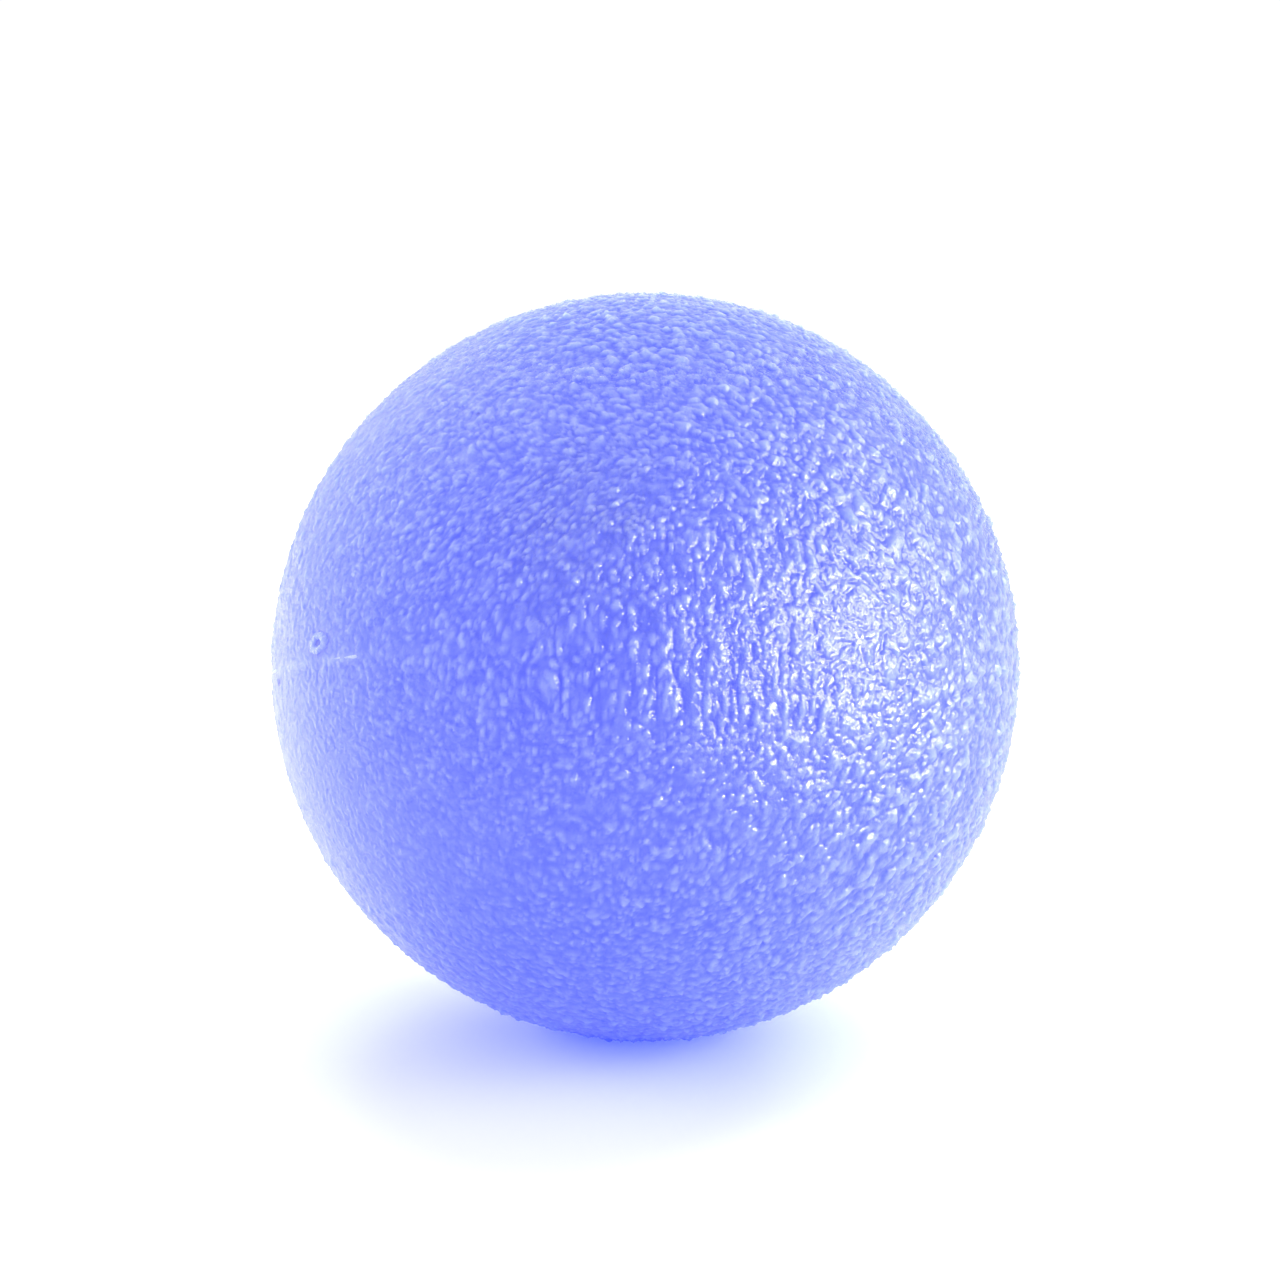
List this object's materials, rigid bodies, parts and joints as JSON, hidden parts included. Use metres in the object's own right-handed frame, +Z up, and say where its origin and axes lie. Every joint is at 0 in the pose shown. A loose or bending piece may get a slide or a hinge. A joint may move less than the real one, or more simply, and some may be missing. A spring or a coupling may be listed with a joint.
{
  "type": "stress ball",
  "caption": "Soft translucent gel ball with a pebbled rubber cover bonded along a seam, squeezed in the hand or against a desk to relieve stress and exercise the grip.",
  "frame": {"origin": "centre of the flat that the ball's own weight presses into its underside, on the desk", "axes": "+Z up from the desk; -Y is the side seen in use, where the seam is highest; +X to the right of a person who looks along +Y"},
  "size_m": [0.0504, 0.05, 0.0496],
  "materials": {
    "cover": "translucent blue thermoplastic rubber with a moulded pebble grain, soft satin sheen",
    "bond": "pale satin line of cured bond",
    "gel": "soft translucent gel, glossy",
    "plug": "translucent blue rubber, satin"
  },
  "bodies": {
    "lower_half": {"lower_cover": "cover", "seam_bond": "bond", "gel_core": "gel"},
    "upper_half": {"upper_cover": "cover", "fill_plug": "plug"}
  },
  "joints": [
    {"name": "squeeze", "type": "slide", "parent": "lower_half", "child": "upper_half", "axis": [0, 0, -1], "range_m": [0, 0.015], "stiffness_N_per_m": 1400, "deforming": ["lower_cover", "seam_bond", "gel_core", "upper_cover", "fill_plug"]}
  ]
}
